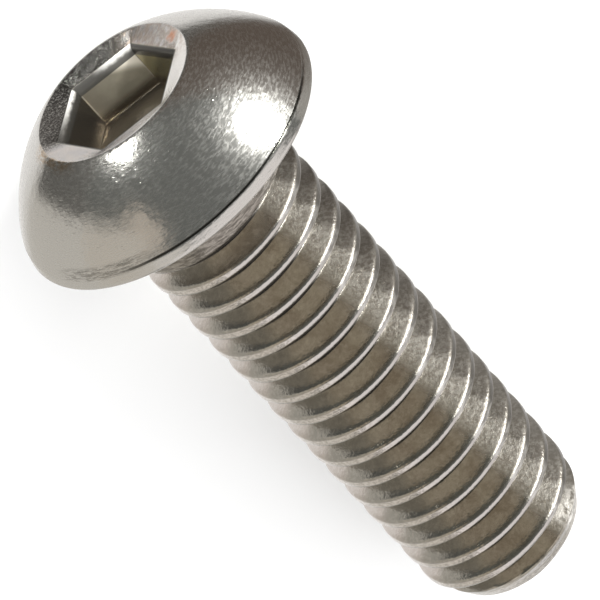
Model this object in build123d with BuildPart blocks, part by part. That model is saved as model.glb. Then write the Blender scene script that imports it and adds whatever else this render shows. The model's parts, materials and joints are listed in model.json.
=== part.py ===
"""Button head socket screw, 5/16-18 UNC by 1 in., in one piece of stainless steel, lying on its side."""
from build123d import *
import os
from math import atan2, degrees, hypot, radians, tan

# Driving sizes, in millimetres and degrees. The screw is made upright, with the face under its head
# at zero height: the head stands above that face and the threaded shank hangs below it.
length_under_head = 25.4
threads_per_inch = 18
crest_diameter = 7.8
tip_diameter = 6.0               # flat end of the screw, just inside the root of the thread
full_thread_start = 2.676        # below the head; from here up the groove climbs out of the metal

head_diameter = 13.86
band_top_diameter = 13.6
band_height = 0.62               # low edge of the head, from which the dome rises
band_edge_chamfer = 0.12
head_height = 3.84
underhead_chamfer = 0.45         # thickening that carries the shank into the head

mouth_diameter = 7.18            # edge of the sunk rim that draws in from a circle to the hexagon
key_flats = 4.76                 # across flats, for a 3/16 in. hexagon key
key_depth = 2.41                 # depths are from the top of the head
lead_in_flats = 5.2              # the hexagon is opened out this wide at the foot of the sunk rim
lead_in_start = 0.285
lead_in_end = 0.72
pilot_diameter = 4.5             # hole made before the hexagon, which ends in a blunt cone
pilot_angle = 140.0

# Unified thread: flanks at 60 degrees to each other, and a crest an eighth of the pitch wide
pitch = 25.4 / threads_per_inch
flank_slope = tan(radians(30))
thread_depth = 0.5954 * pitch
crest_flat = pitch / 8
crest_radius = crest_diameter / 2
root_radius = crest_radius - thread_depth
root_flat = pitch - crest_flat - 2 * thread_depth * flank_slope

# The tool that cuts the groove stands a little way out of the blank
tool_overhang = 0.1
tool_width = pitch - crest_flat + 2 * tool_overhang * flank_slope
full_turns = round((length_under_head - full_thread_start) / pitch) + 1
runout_rise = pitch / 2
runout_angle = degrees(atan2(thread_depth + tool_overhang, runout_rise))

tip_radius = tip_diameter / 2
tip_chamfer = crest_radius - tip_radius
head_radius = head_diameter / 2
band_top_radius = band_top_diameter / 2
mouth_radius = mouth_diameter / 2
pilot_radius = pilot_diameter / 2
pilot_point = pilot_radius / tan(radians(pilot_angle / 2))

# The dome is part of the sphere that passes through the band's top and the edge of the sunk rim
dome_centre = (
    (head_height**2 - band_height**2 + mouth_radius**2 - band_top_radius**2)
    / (2 * (head_height - band_height))
)
dome_radius = hypot(mouth_radius, head_height - dome_centre)
dome_top_angle = degrees(atan2(head_height - dome_centre, mouth_radius))
dome_foot_angle = degrees(atan2(band_height - dome_centre, band_top_radius))


def groove_tool(height, rise, cone_angle):
    """A length of the thread's groove, right-handed, climbing from the given height."""
    with BuildPart() as tool:
        with BuildLine() as path:
            Helix(pitch, rise, root_radius, center=(0, 0, height), cone_angle=cone_angle)
        with BuildSketch(Plane.XZ):
            with BuildLine():
                Polyline(
                    (root_radius, height - root_flat / 2),
                    (crest_radius + tool_overhang, height - tool_width / 2),
                    (crest_radius + tool_overhang, height + tool_width / 2),
                    (root_radius, height + root_flat / 2),
                    close=True,
                )
            make_face()
        sweep(path=path.line, is_frenet=True)
    return tool.part


def hexagon(across_flats):
    """A hexagon with corners on the X axis."""
    return RegularPolygon(across_flats / 2, 6, major_radius=False, rotation=0)


groove_tools = [
    groove_tool(-full_thread_start - (turn + 1) * pitch, pitch, 0) for turn in range(full_turns)
]
groove_tools.append(groove_tool(-full_thread_start, runout_rise, runout_angle))

with BuildPart() as screw:
    # Blank: dome, band, thickening under the head, shank and chamfered tip, turned in one
    with BuildSketch(Plane.XZ):
        with BuildLine():
            Line((0, head_height), (mouth_radius, head_height))
            CenterArc(
                (0, dome_centre),
                dome_radius,
                dome_foot_angle,
                dome_top_angle - dome_foot_angle,
            )
            Polyline(
                (band_top_radius, band_height),
                (head_radius, band_edge_chamfer),
                (head_radius - band_edge_chamfer, 0),
                (crest_radius + underhead_chamfer, 0),
                (crest_radius, -underhead_chamfer),
                (crest_radius, tip_chamfer - length_under_head),
                (tip_radius, -length_under_head),
                (0, -length_under_head),
                (0, head_height),
            )
        make_face()
    revolve(axis=Axis.Z)

    # Thread: the groove, a turn at a time, leaves the crests standing on the blank's own surface
    for tool in groove_tools:
        add(tool, mode=Mode.SUBTRACT)

    # Sunk rim around the socket, one facet from each sixth of its circle to a side of the hexagon
    with BuildSketch(Plane.XY.offset(head_height)):
        with BuildLine():
            for side in range(6):
                CenterArc((0, 0), mouth_radius, side * 60, 60)
        make_face()
    with BuildSketch(Plane.XY.offset(head_height - lead_in_start)):
        hexagon(lead_in_flats)
    loft(ruled=True, mode=Mode.SUBTRACT)

    # Lead-in, where the hexagon narrows to the size of the key
    with BuildSketch(Plane.XY.offset(head_height - lead_in_start)):
        hexagon(lead_in_flats)
    with BuildSketch(Plane.XY.offset(head_height - lead_in_end)):
        hexagon(key_flats)
    loft(mode=Mode.SUBTRACT)

    # Hexagon for the key, and the point of the pilot hole in its floor
    with BuildSketch(Plane.XY.offset(head_height - lead_in_end)):
        hexagon(key_flats)
    extrude(amount=lead_in_end - key_depth, mode=Mode.SUBTRACT)
    with BuildSketch(Plane.XZ):
        with BuildLine():
            Polyline(
                (0, head_height - key_depth),
                (pilot_radius, head_height - key_depth),
                (0, head_height - key_depth - pilot_point),
                close=True,
            )
        make_face()
    revolve(axis=Axis.Z, mode=Mode.SUBTRACT)

# The screw comes to rest with a flat of its hexagon level, on the head's edge and its last full crest
first_crest_depth = full_thread_start - 3 / 4 * pitch
crests_between = int((length_under_head - tip_chamfer - first_crest_depth) / pitch)
last_crest_depth = first_crest_depth + crests_between * pitch
lean = degrees(atan2(head_radius - crest_radius, band_edge_chamfer + last_crest_depth))
rolled = screw.part.rotate(Axis.Z, 90)
laid_down = rolled.rotate(Axis.Y, lean - 90)
box = laid_down.bounding_box()
at_rest = laid_down.moved(Location((-box.center().X, -box.center().Y, -box.min.Z)))

at_rest.label = "screw"
os.makedirs("parts", exist_ok=True)
export_step(at_rest, "parts/screw.step")
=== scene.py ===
"""A button head socket screw of polished stainless steel, lying on a white table in soft light."""

import json
from math import atan2, cos, floor, hypot, pi, radians, sin, sqrt, tan

import bmesh
import bpy
from mathutils import Matrix, Vector


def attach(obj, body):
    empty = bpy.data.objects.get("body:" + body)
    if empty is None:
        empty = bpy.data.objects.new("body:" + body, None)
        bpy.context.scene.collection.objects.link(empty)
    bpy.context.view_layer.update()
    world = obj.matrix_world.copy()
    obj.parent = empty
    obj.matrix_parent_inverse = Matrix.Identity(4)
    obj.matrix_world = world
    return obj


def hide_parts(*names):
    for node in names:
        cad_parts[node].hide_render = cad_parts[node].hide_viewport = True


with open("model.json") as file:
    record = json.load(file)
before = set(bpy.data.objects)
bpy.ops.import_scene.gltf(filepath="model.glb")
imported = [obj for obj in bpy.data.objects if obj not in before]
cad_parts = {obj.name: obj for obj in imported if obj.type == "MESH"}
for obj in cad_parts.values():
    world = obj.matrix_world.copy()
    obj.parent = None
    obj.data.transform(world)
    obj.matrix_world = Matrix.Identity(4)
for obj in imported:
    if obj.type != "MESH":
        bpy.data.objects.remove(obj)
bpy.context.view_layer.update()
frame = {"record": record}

# Screw: one piece of cold-headed stainless steel. The head was headed and polished, the socket was
# punched, and the 5/16-18 UNC thread was rolled. Sizes are in metres, in the screw's own upright
# frame, with the face under the head at zero height.
length = 0.0254
pitch = 0.0254 / 18
crest_radius = 0.0039
crest_round = 0.0002
crest_flat = 0.00013             # half the width of the flat left on the crests at two sides
flat_middle = 20 / 360
root_round = 0.00011
flank_slope = tan(radians(30))
root_radius = crest_radius + crest_round - pitch / 2 / flank_slope + root_round
thread_start = 0.002676
runout_turns = 0.5
runout_round = 0.00001
tip_radius = 0.00318
tip_slope = 0.5                  # the worn chamfer widens by this much for each unit of height
tip_round = 0.00012
underhead_round = 0.00045
head_radius = 0.00693
band_top_radius = 0.0068
band_height = 0.00062
band_edge_round = 0.00012
seam_depth = 0.00004
seam_middle = 290 / 360          # the seam is deepest here around the head
seam_end = 0.6                   # cosine of the angle from its middle at which it fades out
seam_fade = 0.25
head_height = 0.00384
mouth_radius = 0.00359
mouth_round = 0.00005
key_flats = 0.00476
key_depth = 0.00241
floor_round = 0.00006
lead_in_flats = 0.0052
lead_in_start = 0.000285
lead_in_end = 0.00072
pilot_radius = 0.00225
pilot_point = pilot_radius / tan(radians(70))

columns = 144
dome_centre = (
    (head_height**2 - band_height**2 + mouth_radius**2 - band_top_radius**2)
    / (2 * (head_height - band_height))
)
dome_radius = hypot(mouth_radius, head_height - dome_centre)


def soft_positive(value, width):
    """The value where it is above zero and zero below, rounded over the width on either side."""
    if abs(value) < width:
        return (value + width) ** 2 / (4 * width)
    return max(value, 0.0)


def thread_radius(turn, from_crest):
    """Radius of the full thread at a place around it and at a distance from the middle of a crest."""
    flat = crest_flat * (cos(4 * pi * (turn - flat_middle)) * 0.5 + 0.5)
    from_flat = max(0.0, from_crest - flat)
    from_root = pitch / 2 - from_crest
    if from_flat < crest_round * cos(radians(30)):
        return crest_radius - crest_round + sqrt(crest_round**2 - from_flat**2)
    if from_root < root_round * cos(radians(30)):
        return root_radius + flat / flank_slope + root_round - sqrt(root_round**2 - from_root**2)
    return crest_radius + crest_round - from_flat / flank_slope


def shank_radius(turn, height):
    """Radius of the threaded shank at a place around it, in turns, and at a height."""
    along = (height + thread_start) / pitch - turn + 0.5
    groove = floor(along)
    radius = thread_radius(turn, (0.5 - abs(along - groove - 0.5)) * pitch)
    past_end = max(0.0, turn + groove)
    filled = past_end / runout_turns * (crest_radius - root_radius)
    threaded = crest_radius - soft_positive(crest_radius - radius - filled, runout_round)
    chamfer = tip_radius + (height + length) * tip_slope
    return threaded - soft_positive(threaded - chamfer, tip_round / 2)


def hexagon_radius(turn, flats):
    """Distance from the axis to the side of a hexagon with a corner at turn zero."""
    from_side = (turn * 360) % 60 - 30
    return flats / 2 / cos(radians(from_side))


def between(first, last, steps):
    """The points that divide a straight line into steps, without its first."""
    return [
        tuple(a + (b - a) * step / steps for a, b in zip(first, last))
        for step in range(1, steps + 1)
    ]


def quarter_turn(steps):
    """The angles that divide a quarter of a turn into steps, without its first."""
    return [pi / 2 * step / steps for step in range(1, steps + 1)]


def socket_rows(turn):
    """The socket from the bottom of its pilot hole to the edge of its rim, at one place around."""
    key = hexagon_radius(turn, key_flats)
    floor_height = head_height - key_depth
    rows = [(0.0, floor_height - pilot_point)]
    rows += between(rows[-1], (pilot_radius, floor_height), 4)
    rows += between(rows[-1], (key - floor_round, floor_height), 2)
    rows.append((key - floor_round / 3, floor_height + floor_round / 3))
    rows.append((key, floor_height + floor_round))
    rows += between(rows[-1], (key, head_height - lead_in_end), 5)
    mouth = (hexagon_radius(turn, lead_in_flats), head_height - lead_in_start)
    for angle in quarter_turn(6):
        rows.append(
            (
                key + (mouth[0] - key) * (1 - cos(angle)),
                head_height - lead_in_end + (lead_in_end - lead_in_start) * sin(angle),
            )
        )
    rim_slope = lead_in_start / (mouth_radius - mouth[0])
    rows += between(mouth, (mouth_radius - mouth_round, head_height - mouth_round * rim_slope), 4)
    return rows


# The outside of the head is the same all the way round but for its seam. First the dome:
socket_count = len(socket_rows(0.0))
top_angle = atan2(head_height - dome_centre, mouth_radius + mouth_round)
foot_angle = atan2(band_height - dome_centre, band_top_radius)
head_rows = [(mouth_radius - mouth_round * 0.3, head_height - mouth_round * 0.2)]
for step in range(37):
    angle = top_angle + (foot_angle - top_angle) * step / 36
    head_rows.append((dome_radius * cos(angle), dome_centre + dome_radius * sin(angle)))

# The seam, stepping out and down from the foot of the dome. Its second row is the one pressed in.
foot = head_rows[-1]
seam_row = socket_count + len(head_rows) + 1
for out, down in ((0, 0.00002), (0.00001, 0.000045), (0.00002, 0.00007), (0.00004, 0.0001)):
    head_rows.append((foot[0] + out, foot[1] - down))

# The band, its rounded lower edge, the bearing face and the curve that leads into the shank
head_rows += between(head_rows[-1], (head_radius, band_edge_round), 4)
for angle in quarter_turn(5):
    head_rows.append(
        (
            head_radius - band_edge_round * (1 - cos(angle)),
            band_edge_round * (1 - sin(angle)),
        )
    )
bearing_row = socket_count + len(head_rows)
bearing_inside = crest_radius + underhead_round
head_rows += between(head_rows[-1], (bearing_inside, 0.0), 6)
for angle in quarter_turn(6):
    head_rows.append(
        (
            bearing_inside - underhead_round * sin(angle),
            -underhead_round * (1 - cos(angle)),
        )
    )
shank_top = -underhead_round

# One turn of the thread's profile, as distances below the middle of a crest, closer together where
# the crest and the root are round
half_crest = [0.00003, 0.00006, 0.00009, 0.00012, 0.00015, 0.00018, 0.00023, 0.00029, 0.00035]
half_root = [pitch / 2 - root_round * share for share in (1.3, 0.86, 0.66, 0.44, 0.22)]
half_thread = half_crest + [0.00042, 0.0005] + half_root
profile = [0.0] + half_thread + [pitch / 2] + [pitch - down for down in reversed(half_thread)]

vertices = []
faces = []
for column in range(columns):
    turn = column / columns
    seam = seam_depth * soft_positive(cos(2 * pi * (turn - seam_middle)) - seam_end, seam_fade)
    for row, (radius, height) in enumerate(socket_rows(turn) + head_rows):
        if row == seam_row:
            radius -= seam
        vertices.append((radius * cos(2 * pi * turn), radius * sin(2 * pi * turn), height))
rows_above = socket_count + len(head_rows)
for column in range(columns):
    beside = (column + 1) % columns
    for row in range(rows_above - 1):
        faces.append(
            (
                column * rows_above + row,
                column * rows_above + row + 1,
                beside * rows_above + row + 1,
                beside * rows_above + row,
            )
        )
socket_finish, head_finish, thread_finish = range(3)
finishes = [socket_finish] * (socket_count - 1) + [head_finish] * (bearing_row - socket_count)
finishes += [thread_finish] * (rows_above - bearing_row)
finishes *= columns

# The thread's rows run along the helix, so that crests and roots stay sharp. A row that would leave
# the shank at either end is held at that end. The first row starts on a crest above the shank.
first_crest = pitch / 2 - thread_start + pitch
turns = int((first_crest + length) / pitch) + 3
thread_rows = turns * len(profile)
thread_base = len(vertices)
for column in range(columns):
    turn = column / columns
    for row in range(thread_rows):
        height = first_crest + (turn - row // len(profile)) * pitch - profile[row % len(profile)]
        height = min(shank_top, max(-length, height))
        radius = shank_radius(turn, height)
        vertices.append((radius * cos(2 * pi * turn), radius * sin(2 * pi * turn), height))
for column in range(columns):
    # The last column meets the first one turn lower down the helix
    beside, lower = (column + 1, 0) if column + 1 < columns else (0, len(profile))
    for row in range(thread_rows - 1):
        here = thread_base + column * thread_rows + row
        there = thread_base + beside * thread_rows + row - lower
        if row >= lower:
            faces.append((here, here + 1, there + 1, there))
        elif row + 1 == lower:
            faces.append((here, here + 1, there + 1))

# The flat end
end_base = len(vertices)
for column in range(columns):
    turn = column / columns
    for share in (1.0, 0.8, 0.4, 0.0):
        radius = shank_radius(turn, -length) * share
        vertices.append((radius * cos(2 * pi * turn), radius * sin(2 * pi * turn), -length))
for column in range(columns):
    here = end_base + column * 4
    beside = end_base + (column + 1) % columns * 4
    for ring in range(3):
        faces.append((here + ring, here + ring + 1, beside + ring + 1, beside + ring))
finishes += [thread_finish] * (len(faces) - len(finishes))

screw_mesh = bpy.data.meshes.new("screw")
screw_mesh.from_pydata(vertices, [], faces)
screw_mesh.polygons.foreach_set("material_index", finishes)
welded = bmesh.new()
welded.from_mesh(screw_mesh)
bmesh.ops.remove_doubles(welded, verts=welded.verts, dist=1e-7)
bmesh.ops.dissolve_degenerate(welded, edges=welded.edges, dist=1e-8)
welded.to_mesh(screw_mesh)
welded.free()
screw_mesh.shade_smooth()
screw_mesh.set_sharp_from_angle(angle=radians(24))

# It lies with a flat of its hexagon level: its own X axis points across the table, and its own Z
# axis runs up through the head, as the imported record's socket mount says
socket_mount = next(m for m in frame["record"]["mounts"] if m["name"] == "hex_socket")
to_head = Vector(socket_mount["axis"])
across = Vector((0, 1, 0))
lying = Matrix((across, to_head.cross(across), to_head)).transposed().to_4x4()
lying.translation = Vector(socket_mount["pos_m"]) - to_head * (head_height - lead_in_start)
screw = bpy.data.objects.new("stainless_screw", screw_mesh)
bpy.context.scene.collection.objects.link(screw)
screw.matrix_world = lying
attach(screw, "root")
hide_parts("screw")


class Shade:
    """One shader socket, so that a finish reads as plain sums of sockets and numbers."""

    def __init__(self, tree, socket=None):
        self.tree = tree
        self.socket = socket

    def node(self, kind, settings=None, output=0, **inputs):
        """A new node: its settings first, then its sockets by name, with _ for a space."""
        made = self.tree.nodes.new(kind)
        for name, setting in (settings or {}).items():
            setattr(made, name, setting)
        for name, given in inputs.items():
            key = int(name[1:]) if name[1:].isdigit() else name.replace("_", " ")
            socket = made.inputs[key]
            if isinstance(given, Shade):
                self.tree.links.new(given.socket, socket)
            else:
                socket.default_value = given
        return Shade(self.tree, made.outputs[output] if made.outputs else None)

    def sum(self, operation, first, second=0.0, third=0.0):
        return self.node(
            "ShaderNodeMath", {"operation": operation}, i0=first, i1=second, i2=third
        )

    def __add__(self, other):
        return self.sum("ADD", self, other)

    def __radd__(self, other):
        return self.sum("ADD", other, self)

    def __sub__(self, other):
        return self.sum("SUBTRACT", self, other)

    def __rsub__(self, other):
        return self.sum("SUBTRACT", other, self)

    def __mul__(self, other):
        return self.sum("MULTIPLY", self, other)

    def __rmul__(self, other):
        return self.sum("MULTIPLY", other, self)

    def __truediv__(self, other):
        return self.sum("DIVIDE", self, other)

    def __rtruediv__(self, other):
        return self.sum("DIVIDE", other, self)

    def __pow__(self, other):
        return self.sum("POWER", self, other)

    def step(self, low, high):
        """Rises smoothly from 0 to 1 as this socket goes from low to high."""
        return self.node(
            "ShaderNodeMapRange",
            {"interpolation_type": "SMOOTHSTEP"},
            Value=self,
            From_Min=low,
            From_Max=high,
        )

    def mix(self, here, there):
        """The colour here where this socket is 0, and the colour there where it is 1."""
        return self.node(
            "ShaderNodeMix", {"data_type": "RGBA"}, output=2, Factor=self, i6=here, i7=there
        )

    def part(self, axis):
        """One coordinate of this place: 0, 1 or 2."""
        return self.node("ShaderNodeSeparateXYZ", output=axis, Vector=self)

    def place(self, x, y, z):
        """A place made of three numbers or sockets."""
        return self.node("ShaderNodeCombineXYZ", X=x, Y=y, Z=z)

    def stretched(self, x, y, z, start=0.0):
        """This place with its coordinates scaled, and the first of them moved on by a start."""
        return self.node(
            "ShaderNodeVectorMath",
            {"operation": "MULTIPLY_ADD"},
            i0=self,
            i1=(x, y, z),
            i2=(start, 0.0, 0.0),
        )

    def distance(self, other):
        """How far this place is from the given one."""
        return self.node(
            "ShaderNodeVectorMath", {"operation": "DISTANCE"}, output="Value", i0=self, i1=other
        )

    def noise(self, detail=2.0, roughness=0.5):
        """Soft noise about 0.5 over this place, with one blotch to each unit of length."""
        return self.node(
            "ShaderNodeTexNoise", Vector=self, Scale=1.0, Detail=detail, Roughness=roughness
        )

    def facing(self, direction):
        """How far this direction points along the given one."""
        return self.node(
            "ShaderNodeVectorMath",
            {"operation": "DOT_PRODUCT"},
            output="Value",
            i0=self,
            i1=direction,
        )


def bearing(turn, rise=0.0):
    """A direction turned from +X towards +Y, and then raised towards +Z, both in degrees."""
    return (
        cos(radians(rise)) * cos(radians(turn)),
        cos(radians(rise)) * sin(radians(turn)),
        sin(radians(rise)),
    )


def screw_finish(name):
    """A new material on the screw, with its spot and radius in millimetres, in the screw's own frame,
    and its place around the axis: a point on a circle of radius one, at the same height."""
    steel = bpy.data.materials.new(name)
    steel.use_nodes = True
    steel.node_tree.nodes.clear()
    screw_mesh.materials.append(steel)
    tree = Shade(steel.node_tree)
    spot = tree.node("ShaderNodeTexCoord", output="Object").stretched(1000, 1000, 1000)
    across, along, height = (spot.part(axis) for axis in range(3))
    radius = (across * across + along * along) ** 0.5
    return tree, spot, radius, tree.place(across / radius, along / radius, height)


# Socket finish: struck with a punch and left as it came, so it is rougher than the head. The lead-in
# has painted highlights along its edge in places, the walls have oily blotches, a thin matt film and
# painted light and shade by side, and painted shade darkens the bottom.
tree, spot, radius_mm, around = screw_finish("struck socket")
across_mm = spot.part(0)
height_mm = spot.part(2)
speckle = spot.stretched(12, 12, 12).noise(3.0, 0.7)
blotch = spot.stretched(1.6, 1.6, 1.6).noise(2.0)
wear = spot.stretched(4, 4, 4).noise(2.0)
on_rim = height_mm.step(3.545, 3.565)
on_lead_in = height_mm.step(3.12, 3.16) * (1.0 - on_rim)
deep_shade = 1.0 - height_mm.step(1.55, 2.1)
first_wall = around.facing(bearing(30)).step(0.86, 0.875)
second_wall = around.facing(bearing(90)).step(0.86, 0.875)
third_wall = around.facing(bearing(150)).step(0.86, 0.875)

# Walls: oily blotches, with painted light and shade by side: painted shade darkest on the third and
# on the left of the second, a darker olive on the first, and a painted highlight at a corner and
# along the edges of the second
wall_tone = blotch.step(0.35, 0.65).mix((0.50, 0.465, 0.365, 1.0), (0.60, 0.56, 0.44, 1.0))
wall_tone = third_wall.mix(wall_tone, (0.10, 0.088, 0.072, 1.0))
wall_tone = first_wall.mix(wall_tone, (0.46, 0.43, 0.28, 1.0))
# Painted shade on the left of the second wall
shaded = second_wall * (1.0 - across_mm.step(-1.4, 0.8)) * 0.7
wall_tone = shaded.mix(wall_tone, (0.22, 0.195, 0.16, 1.0))
# Painted highlight: a cream corner and bright edges on the second wall
corner = second_wall * (across_mm * 0.6 + height_mm).step(3.1, 3.65)
wall_edge_highlight = second_wall * (across_mm * across_mm).step(1.70, 1.84)
wall_tone = (corner + wall_edge_highlight * 0.7).mix(wall_tone, (1.0, 0.94, 0.80, 1.0))
# Painted shade: the walls darken towards the bottom of the socket
wall_tone = deep_shade.mix(wall_tone, (0.22, 0.19, 0.15, 1.0))

# Lead-in: a painted highlight along its upper edge on two sides
along_third = spot.facing(bearing(60))
highlit_sides = third_wall * along_third.step(-1.6, 1.2) + second_wall * across_mm.step(-0.6, 0.7) * 0.85
edge_highlight = highlit_sides * (height_mm + wear * 0.2).step(3.44, 3.64)
lead_tone = edge_highlight.mix((0.14, 0.135, 0.125, 1.0), (0.86, 0.85, 0.81, 1.0))

# Sunk rim: smooth, with a pale painted reflection on the near side, pitted on the far side, with
# painted shade, dark and speckled, on the far and left sides, and with a stain and a rust spot
left_rim = around.facing(bearing(125)).step(0.35, 0.6)
far_rim = around.facing(bearing(90)).step(0.5, 0.9)
near_rim = around.facing(bearing(-30)).step(0.3, 0.9)
left_tone = speckle.step(0.42, 0.66).mix((0.10, 0.09, 0.082, 1.0), (0.42, 0.405, 0.38, 1.0))
far_tone = speckle.step(0.47, 0.64).mix((0.11, 0.105, 0.097, 1.0), (0.52, 0.51, 0.49, 1.0))
rim_tone = blotch.step(0.35, 0.65).mix((0.54, 0.52, 0.51, 1.0), (0.60, 0.56, 0.53, 1.0))
# Painted reflection, pale, on the near side; painted shade, dark and speckled, on the far and left
# sides
rim_tone = near_rim.mix(rim_tone, (0.86, 0.84, 0.81, 1.0))
rim_tone = left_rim.mix(rim_tone, far_rim.mix(left_tone, far_tone))
stained = around.facing(bearing(30)).step(0.6, 0.95) * wear.step(0.35, 0.65)
rim_tone = (stained * 0.6).mix(rim_tone, (0.50, 0.41, 0.34, 1.0))
from_rust = tree.place(across_mm, spot.part(1), 0.0).distance((3.2, 0.75, 0.0))
rust = 1.0 - (from_rust + wear * 0.8 + speckle * 0.3).step(0.45, 1.0)
rim_tone = rust.mix(rim_tone, (0.72, 0.38, 0.24, 1.0))

tone = on_rim.mix(on_lead_in.mix(wall_tone, lead_tone), rim_tone)
film = second_wall * (1.0 - deep_shade) * (0.3 + corner * 0.5)
matt = (1.0 - on_rim) * (0.15 + on_lead_in * edge_highlight * 0.55 + film)
relief = speckle * (0.35 + on_rim * (0.5 + left_rim * 0.7))
bump = tree.node("ShaderNodeBump", Strength=1.0, Distance=0.000012, Height=relief)
metal = tree.node(
    "ShaderNodeBsdfPrincipled",
    Base_Color=tone,
    Metallic=1.0 - matt,
    Roughness=0.24,
    Normal=bump,
)
tree.node("ShaderNodeOutputMaterial", Surface=metal)

# Head finish: polished while it turned, which leaves fine strokes round the axis and small flecks,
# with painted shade, near black, in the seam above the band on one side
tree, spot, radius_mm, around = screw_finish("polished head")
height_mm = spot.part(2)
over_dome = tree.place(around.part(0), around.part(1), radius_mm - height_mm)
strokes = over_dome.stretched(24, 24, 12).noise(3.0, 0.6)
flecks = over_dome.stretched(18, 18, 7, start=40).noise(1.0)
dull = over_dome.stretched(20, 20, 9, start=80).noise(3.0, 0.6)
ripple = spot.stretched(2.2, 2.2, 2.2).noise(2.0)
burrs = around.stretched(12, 12, 18).noise(3.0, 0.7)
burred = around.facing(bearing(230)).step(0.92, 0.985)
burred = burred * height_mm.step(0.40, 0.55) * (1.0 - height_mm.step(0.85, 1.05))
edge_stain = around.facing(bearing(200)).step(0.88, 0.99) * (1.0 - radius_mm.step(3.70, 4.15))
in_seam = height_mm.step(0.50, 0.54) * (1.0 - height_mm.step(0.61, 0.63))
seam_side = around.facing(bearing(290)).step(0.50, 0.80)
scraped = burred * burrs.step(0.44, 0.56) * 0.6
tone = scraped.mix((0.62, 0.61, 0.585, 1.0), (0.20, 0.19, 0.17, 1.0))
tone = (edge_stain * burrs.step(0.35, 0.60) * 0.8).mix(tone, (0.46, 0.33, 0.20, 1.0))
# Painted shade: the seam crease is near black on one side
tone = (in_seam * seam_side).mix(tone, (0.04, 0.04, 0.035, 1.0))
relief = strokes * 0.55 + flecks.step(0.64, 0.76) * 0.45 + ripple * 2.4 + burrs * burred * 5.0
bump = tree.node("ShaderNodeBump", Strength=1.0, Distance=0.000006, Height=relief)
bright = tree.node(
    "ShaderNodeBsdfPrincipled", Base_Color=tone, Metallic=1.0, Roughness=0.14, Normal=bump
)
satin = tree.node(
    "ShaderNodeBsdfPrincipled", Base_Color=tone, Metallic=1.0, Roughness=0.36, Normal=bump
)
metal = tree.node(
    "ShaderNodeMixShader", i0=0.14 + dull.step(0.42, 0.66) * 0.32, i1=bright, i2=satin
)
tree.node("ShaderNodeOutputMaterial", Surface=metal)

# Thread finish: rolled between dies, bright on the crests where it has rubbed, brown with oil on its
# flanks, with painted shade, near black, in its roots. One side of it is scuffed to a grey grain, and
# the other has torn crests and a film of blue-grey. Some sides carry painted light and shade.
tree, spot, radius_mm, around = screw_finish("rolled thread")
height_mm = spot.part(2)
turn = tree.sum("ARCTAN2", spot.part(1), spot.part(0)) / (2 * pi)
along = tree.sum("FRACT", height_mm / (pitch * 1000) - turn + (thread_start / pitch + 0.5))
from_crest = 0.5 - tree.sum("ABSOLUTE", along - 0.5)
crest = 1.0 - from_crest.step(0.06, 0.11)
root = from_crest.step(0.44, 0.468)
near_head = height_mm.step(-3.1, -2.5)
near_tip = 1.0 - height_mm.step(-25.3, -24.7)

# Sides of the screw, each a bearing around it in its own frame; some carry painted light and shade
far_right_shade = around.facing(bearing(20)).step(0.72, 0.97)
scuffed = around.facing(bearing(-14)).step(0.55, 0.95)
lit_root = around.facing(bearing(-17.5)).step(0.622, 0.753)
painted_tip_glint = around.facing(bearing(-35)).step(0.941, 0.991) * (1.0 - height_mm.step(-24.4, -23.7))
streaked = around.facing(bearing(-46.2)).step(0.958, 0.988)
filmed = around.facing(bearing(226.2)).step(0.923, 0.993)
torn = around.facing(bearing(219.7)).step(0.62, 0.9)
lit_side = around.facing(bearing(210)).step(0.5, 0.95)
lit_far_left = around.facing(bearing(194)).step(0.93, 0.99)

mottle = spot.stretched(1.1, 1.1, 1.1).noise(3.0)
pits = spot.stretched(7, 7, 7).noise(2.0, 0.6)
across_flank = tree.place(around.part(0), around.part(1), height_mm + radius_mm)
grain = across_flank.stretched(9, 9, 11).noise(3.0, 0.65)
tears = around.stretched(22, 22, 11).noise(3.0, 0.7)
streaks = around.stretched(9, 9, 14).noise(3.0, 0.7)
specks = around.stretched(18, 18, 10).noise(3.0, 0.75)
painted_tip_glint = painted_tip_glint * grain.step(0.38, 0.60)

flank_tone = mottle.step(0.36, 0.64).mix((0.36, 0.325, 0.265, 1.0), (0.43, 0.40, 0.335, 1.0))
# Painted light: the flanks are paler on one side and at the far left
flank_tone = (lit_side * 0.5).mix(flank_tone, (0.56, 0.53, 0.48, 1.0))
flank_tone = lit_far_left.mix(flank_tone, (0.56, 0.515, 0.48, 1.0))
flank_tone = (filmed * 0.5).mix(flank_tone, (0.30, 0.305, 0.30, 1.0))
flank_tone = (specks.step(0.42, 0.64) * 0.16).mix(flank_tone, (0.85, 0.82, 0.76, 1.0))
scuff_tone = specks.step(0.40, 0.62).mix((0.28, 0.26, 0.235, 1.0), (0.50, 0.48, 0.445, 1.0))
scuff_tone = (mottle.step(0.40, 0.60) * 0.3).mix(scuff_tone, (0.26, 0.24, 0.22, 1.0))
# Painted shade: the scuffed flanks are darker towards the far right
scuff_tone = (far_right_shade * 0.8).mix(scuff_tone, (0.12, 0.112, 0.102, 1.0))
flank_tone = (scuffed * 0.8).mix(flank_tone, scuff_tone)
torn_tone = tears.step(0.36, 0.62).mix((0.54, 0.51, 0.475, 1.0), (0.76, 0.72, 0.68, 1.0))
crest_tone = torn.mix((0.62, 0.60, 0.58, 1.0), torn_tone)
crest_tone = (scuffed * 0.9).mix(crest_tone, (0.20, 0.19, 0.175, 1.0))
# Painted shade, near black, in the roots, and a painted reflection of a lamp in the roots on one side
root_tone = lit_root.mix((0.05, 0.046, 0.042, 1.0), (0.50, 0.485, 0.46, 1.0))
neck_tone = streaks.step(0.36, 0.64).mix((0.18, 0.165, 0.145, 1.0), (0.40, 0.375, 0.34, 1.0))
tip_tone = tears.step(0.38, 0.60).mix((0.40, 0.38, 0.35, 1.0), (0.60, 0.575, 0.535, 1.0))
tone = root.mix(crest.mix(flank_tone, crest_tone), root_tone)
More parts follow.
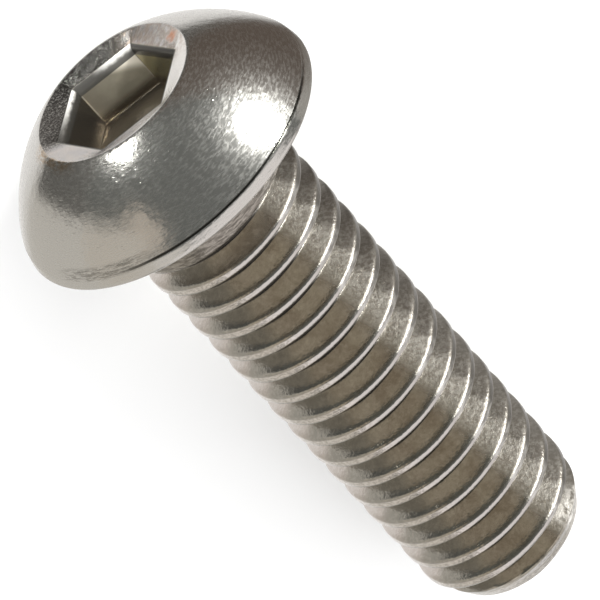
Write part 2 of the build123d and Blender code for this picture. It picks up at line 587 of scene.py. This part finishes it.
# Painted highlight: a pale glint on the thread near the tip
tone = (painted_tip_glint * 0.8).mix(tone, (0.80, 0.775, 0.73, 1.0))
tone = near_head.mix(near_tip.mix(tone, tip_tone), neck_tone)

# Where it is worn or cut at the tip, and at the painted glint near the tip, a little less metal than
# whole gives a dry, pale sheen
sheen = scuffed * (1.0 - far_right_shade) * 0.05 + near_tip * 0.12 + painted_tip_glint * 0.35
sheen = sheen + streaked * (root + crest) * grain.step(0.35, 0.65) * 0.6
relief = grain * (0.5 + scuffed * 0.8) + pits * 0.8 + specks * scuffed * 0.7
relief = relief + tears * crest * torn * 0.8 + streaks * near_head * 1.6
bump = tree.node("ShaderNodeBump", Strength=1.0, Distance=0.000016, Height=relief)
metal = tree.node(
    "ShaderNodeBsdfPrincipled",
    Base_Color=tone,
    Metallic=1.0 - sheen,
    Roughness=0.18 + scuffed * 0.14 + streaked * 0.14,
    Normal=bump,
)
tree.node("ShaderNodeOutputMaterial", Surface=metal)

# Table: a matt white sheet, wide enough to fill the view. What the polished steel sees of it is
# not the lit sheet but a painted reflection that glows: white close by, beige on the near side and
# brown on the far side.
table_mesh = bpy.data.meshes.new("table")
table_half = 1.5
table_corners = [(-table_half, -table_half, 0), (table_half, -table_half, 0)]
table_corners += [(table_half, table_half, 0), (-table_half, table_half, 0)]
table_mesh.from_pydata(table_corners, [], [(0, 1, 2, 3)])
table = bpy.data.objects.new("table", table_mesh)
bpy.context.scene.collection.objects.link(table)
paper = bpy.data.materials.new("white paper")
paper.use_nodes = True
paper.node_tree.nodes.clear()
tree = Shade(paper.node_tree)
mirrored = tree.node("ShaderNodeLightPath", output="Is Glossy Ray")
sheet = tree.node("ShaderNodeBsdfDiffuse", Color=(0.9, 0.9, 0.9, 1.0))
spot = tree.node("ShaderNodeTexCoord", output="Object")
from_head = spot.distance((-0.0107, -0.003, 0.0))
behind = spot.facing(bearing(148)).step(0.006, 0.0085) * from_head.step(0.0095, 0.012)
far_side = spot.part(1).step(0.0065, 0.0095)
past_head = spot.part(0).step(-0.012, -0.003)
near_side = 1.0 - spot.part(1).step(-0.013, -0.008)
far_tone = past_head.mix((0.12, 0.092, 0.074, 1.0), (0.42, 0.40, 0.37, 1.0))
tone = near_side.mix((1.0, 0.98, 0.96, 1.0), (0.68, 0.65, 0.60, 1.0))
tone = behind.mix(tone, (0.13, 0.125, 0.115, 1.0))
tone = far_side.mix(tone, far_tone)
# Painted reflection: a glow seen only by mirrored rays
painted_reflection = tree.node("ShaderNodeEmission", Color=tone)
paper_surface = tree.node("ShaderNodeMixShader", i0=mirrored, i1=sheet, i2=painted_reflection)
tree.node("ShaderNodeOutputMaterial", Surface=paper_surface)
table_mesh.materials.append(paper)

# Light: a white room, in which polished steel sees a dark side, a pale end, a beige near side and
# two lamps. Each patch of the room is a bearing, a rise, the angles where it starts to fade and is
# gone, and a colour.
world = bpy.data.worlds.new("room")
bpy.context.scene.world = world
world.use_nodes = True
world.node_tree.nodes.clear()
tree = Shade(world.node_tree)
toward = tree.node("ShaderNodeTexCoord", output="Generated")
mirrored = tree.node("ShaderNodeLightPath", output="Is Glossy Ray")
waver = toward.stretched(6, 6, 6).noise(2.0)
room = (0.13, 0.134, 0.125, 1.0)
for turn, rise, inner, outer, tint in (
    (-58.0, 46.0, 14.0, 26.0, (0.78, 0.74, 0.69, 1.0)),
    (20.0, 35.0, 47.0, 54.0, (0.98, 0.93, 0.91, 1.0)),
    (0.0, -4.0, 18.0, 26.0, (0.13, 0.134, 0.125, 1.0)),
    (-127.0, 39.0, 7.0, 17.0, (0.62, 0.55, 0.47, 1.0)),
    (-82.0, -2.0, 39.0, 46.0, (0.68, 0.64, 0.58, 1.0)),
    (-100.0, 22.0, 21.0, 29.0, (0.66, 0.61, 0.54, 1.0)),
):
    near = toward.facing(bearing(turn, rise)) + (waver - 0.5) * 0.09
    room = near.step(cos(radians(outer)), cos(radians(inner))).mix(room, tint)
light = tree.node(
    "ShaderNodeBackground", Color=mirrored.mix((1.3, 1.3, 1.3, 1.0), room), Strength=1.0
)
tree.node("ShaderNodeOutputWorld", Surface=light)

middle = Vector((0, 0, 0.006))
for name, turn, rise, distance, size, power, tint in (
    ("main_lamp", 119.0, 18.0, 0.6, 0.155, 4.9, (1.0, 1.0, 0.97)),
    ("second_lamp", -164.5, 3.0, 0.6, 0.15, 0.8, (1.0, 1.0, 0.96)),
):
    lamp = bpy.data.lights.new(name, "AREA")
    lamp.shape = "DISK"
    lamp.size = size
    lamp.energy = power
    lamp.color = tint
    holder = bpy.data.objects.new(name, lamp)
    toward = Vector(bearing(turn, rise))
    holder.location = middle + toward * distance
    holder.rotation_euler = toward.to_track_quat("Z", "Y").to_euler()
    bpy.context.scene.collection.objects.link(holder)

# Camera: a long lens, looking down on the head and turned so that the tip points down to the right
lens = bpy.data.cameras.new("camera")
lens.lens = 286.8
lens.sensor_width = 36.0
lens.clip_start = 0.01
camera = bpy.data.objects.new("camera", lens)
bpy.context.scene.collection.objects.link(camera)
right = Vector((0.5914, 0.7835, 0.1915))
back = Vector((-0.4393, 0.1137, 0.8911))
stand = Matrix((right, back.cross(right), back)).transposed().to_4x4()
stand.translation = Vector((-0.08681, 0.02207, 0.1789))
camera.matrix_world = stand
bpy.context.scene.camera = camera

bpy.context.scene.view_settings.view_transform = "Standard"
